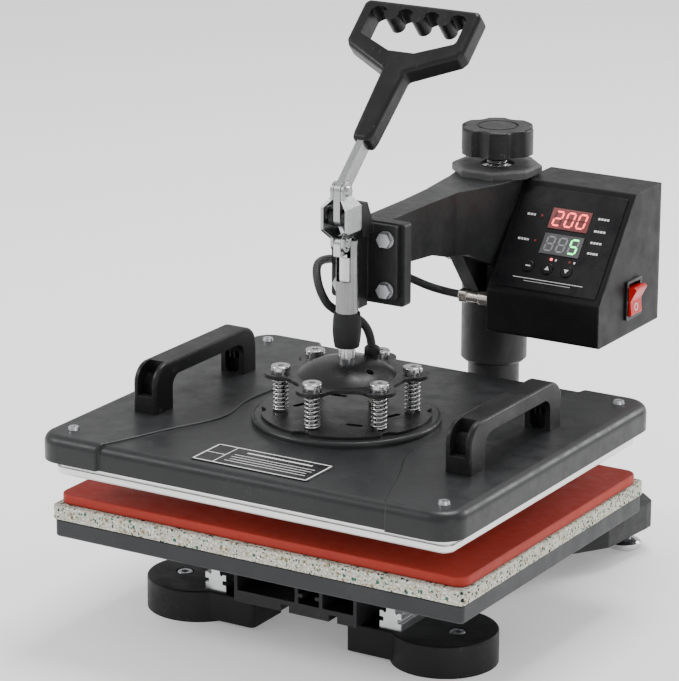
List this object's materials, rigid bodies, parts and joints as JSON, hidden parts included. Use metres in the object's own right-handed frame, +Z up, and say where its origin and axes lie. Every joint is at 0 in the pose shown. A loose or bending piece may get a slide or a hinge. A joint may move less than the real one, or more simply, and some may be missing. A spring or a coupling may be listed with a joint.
{
  "type": "heat press",
  "caption": "Swing-away heat press with a slide-out lower platen, toggle lever, pressure knob and a sloped digital control box.",
  "frame": {"origin": "on the floor, at the middle of the machine's outline seen from above, at rest", "axes": "+X to the operator's right, +Y to the back, +Z up"},
  "size_m": [0.386, 0.4666, 0.4913],
  "materials": {
    "cast_base": "satin black powder coat over a casting",
    "charcoal_enamel": "satin",
    "arm_enamel": "satin black paint over a casting",
    "cap_casting": "rough cast",
    "plate_enamel": "satin",
    "head_enamel": "satin black",
    "black_plastic": "matte",
    "gloss_black": "gloss",
    "knob_plastic": "gloss",
    "box_enamel": "satin",
    "panel_film": "satin",
    "display_glass": "gloss",
    "lamp_red": "gloss",
    "key_black": "satin",
    "rocker_red": "gloss",
    "zinc_steel": "satin",
    "bright_steel": "polished",
    "rail_aluminium": "satin",
    "deck_aluminium": "black anodised",
    "heater_aluminium": "satin",
    "silicone_red": "matte",
    "foam_grain": "matte",
    "insulation_wool": "matte",
    "element_steel": "satin",
    "silicone_sleeve": "matte",
    "cable_black": "matte",
    "spring_steel": "satin",
    "label_black": "gloss",
    "board_green": "satin"
  },
  "bodies": {
    "base": {"base_casting": "cast_base", "front_feet": "black_plastic", "front_foot_bolts": "zinc_steel", "slide_deck": "deck_aluminium", "slide_rails": "rail_aluminium", "column": "cast_base"},
    "left_foot": {"rear_pad_left": "bright_steel"},
    "left_stem": {"rear_stem_left": "zinc_steel"},
    "right_foot": {"rear_pad_right": "bright_steel"},
    "right_stem": {"rear_stem_right": "zinc_steel"},
    "drawer": {"lower_platen": "plate_enamel", "foam_pad": "foam_grain", "silicone_pad": "silicone_red", "slide_carriages": "bright_steel"},
    "thrust": {"thrust_plug": "zinc_steel"},
    "knob": {"pressure_knob": "knob_plastic", "pressure_screw": "bright_steel"},
    "arm": {"swing_arm": "arm_enamel", "arm_cap": "cap_casting", "pressure_nut": "bright_steel", "toggle_bracket": "head_enamel", "bracket_bolts": "bright_steel", "guide_tube": "bright_steel", "guide_bush": "black_plastic", "lever_pin": "bright_steel", "box_shell": "box_enamel", "box_rear_cover": "box_enamel", "box_bracket": "box_enamel", "control_panel": "panel_film", "temperature_display": "display_glass", "timer_display": "display_glass", "indicator_lamps": "lamp_red", "rocker_bezel": "gloss_black", "power_inlet": "black_plastic", "cable_socket": "bright_steel", "circuit_board": "board_green", "heater_plug": "bright_steel", "heater_cable": "cable_black"},
    "plug_nut": {"plug_ring": "bright_steel"},
    "power_switch": {"power_rocker": "rocker_red"},
    "set_key": {"set_button": "key_black"},
    "up_key": {"up_button": "key_black"},
    "down_key": {"down_button": "key_black"},
    "lever": {"lever_bar": "bright_steel", "lever_grip": "black_plastic"},
    "link": {"link_yoke": "bright_steel"},
    "plunger": {"plunger_rod": "bright_steel", "spider_plate": "head_enamel", "cable_gland": "black_plastic"},
    "platen": {"cover_shell": "charcoal_enamel", "heating_plate": "heater_aluminium", "insulation_board": "insulation_wool", "heating_element": "element_steel", "heater_lead": "silicone_sleeve", "side_handles": "black_plastic", "cover_screws": "zinc_steel", "label_plate": "label_black", "head_plate": "head_enamel", "spring_bolts": "bright_steel", "pressure_springs": "spring_steel"}
  },
  "joints": [
    {"name": "arm_swing", "type": "hinge", "parent": "base", "child": "thrust", "pos_m": [0, 0.18325, 0.29], "axis": [0, 0, 1], "range_deg": [-110, 110]},
    {"name": "arm_lift", "type": "slide", "parent": "thrust", "child": "arm", "axis": [0, 0, 1], "range_m": [0, 0.009]},
    {"name": "knob_turn", "type": "hinge", "parent": "thrust", "child": "knob", "pos_m": [0, 0.18325, 0.32], "axis": [0, 0, 1], "range_deg": [-1080, 0]},
    {"name": "head_slide", "type": "slide", "parent": "arm", "child": "plunger", "axis": [0, 0, -1], "range_m": [0, 0.0219], "deforming": ["heater_cable"]},
    {"name": "lever_swing", "type": "hinge", "parent": "arm", "child": "lever", "pos_m": [0, -0.07675, 0.342], "axis": [1, 0, 0], "range_deg": [0, 103.4]},
    {"name": "link_swing", "type": "hinge", "parent": "lever", "child": "link", "pos_m": [0, -0.07675, 0.3645], "axis": [1, 0, 0], "range_deg": [-73.6, 0]},
    {"name": "platen_float", "type": "slide", "parent": "plunger", "child": "platen", "axis": [0, 0, 1], "range_m": [0, 0.006], "stiffness_N_per_m": 12000, "springref_m": -0.005, "deforming": ["pressure_springs"]},
    {"name": "drawer_slide", "type": "slide", "parent": "base", "child": "drawer", "axis": [0, -1, 0], "range_m": [0, 0.14]},
    {"name": "power_switch_rock", "type": "hinge", "parent": "arm", "child": "power_switch", "pos_m": [0.1345, 0.17725, 0.234], "axis": [0, 1, 0], "range_deg": [-22, 0]},
    {"name": "set_key_press", "type": "slide", "parent": "arm", "child": "set_key", "axis": [0, 0.7873, -0.6166], "range_m": [0, 0.0008], "stiffness_N_per_m": 400},
    {"name": "up_key_press", "type": "slide", "parent": "arm", "child": "up_key", "axis": [0, 0.7873, -0.6166], "range_m": [0, 0.0008], "stiffness_N_per_m": 400},
    {"name": "down_key_press", "type": "slide", "parent": "arm", "child": "down_key", "axis": [0, 0.7873, -0.6166], "range_m": [0, 0.0008], "stiffness_N_per_m": 400},
    {"name": "plug_nut_turn", "type": "hinge", "parent": "arm", "child": "plug_nut", "pos_m": [0.022, 0.12525, 0.229], "axis": [1, 0, 0], "range_deg": [0, 720]},
    {"name": "left_foot_height", "type": "slide", "parent": "base", "child": "left_foot", "axis": [0, 0, -1], "range_m": [0, 0.005]},
    {"name": "left_foot_turn", "type": "hinge", "parent": "left_foot", "child": "left_stem", "pos_m": [-0.122, 0.20325, 0.01], "axis": [0, 0, 1], "range_deg": [-1440, 0]},
    {"name": "right_foot_height", "type": "slide", "parent": "base", "child": "right_foot", "axis": [0, 0, -1], "range_m": [0, 0.005]},
    {"name": "right_foot_turn", "type": "hinge", "parent": "right_foot", "child": "right_stem", "pos_m": [0.122, 0.20325, 0.01], "axis": [0, 0, 1], "range_deg": [-1440, 0]}
  ],
  "couplings": [
    {"joint": "knob_turn", "follows": "arm_lift", "rad_per_m": -2094.3},
    {"joint": "lever_swing", "follows": "head_slide", "rad_per_m": 82.404},
    {"joint": "link_swing", "follows": "head_slide", "rad_per_m": -58.655},
    {"joint": "left_foot_turn", "follows": "left_foot_height", "rad_per_m": -5026.5},
    {"joint": "right_foot_turn", "follows": "right_foot_height", "rad_per_m": -5026.5}
  ]
}
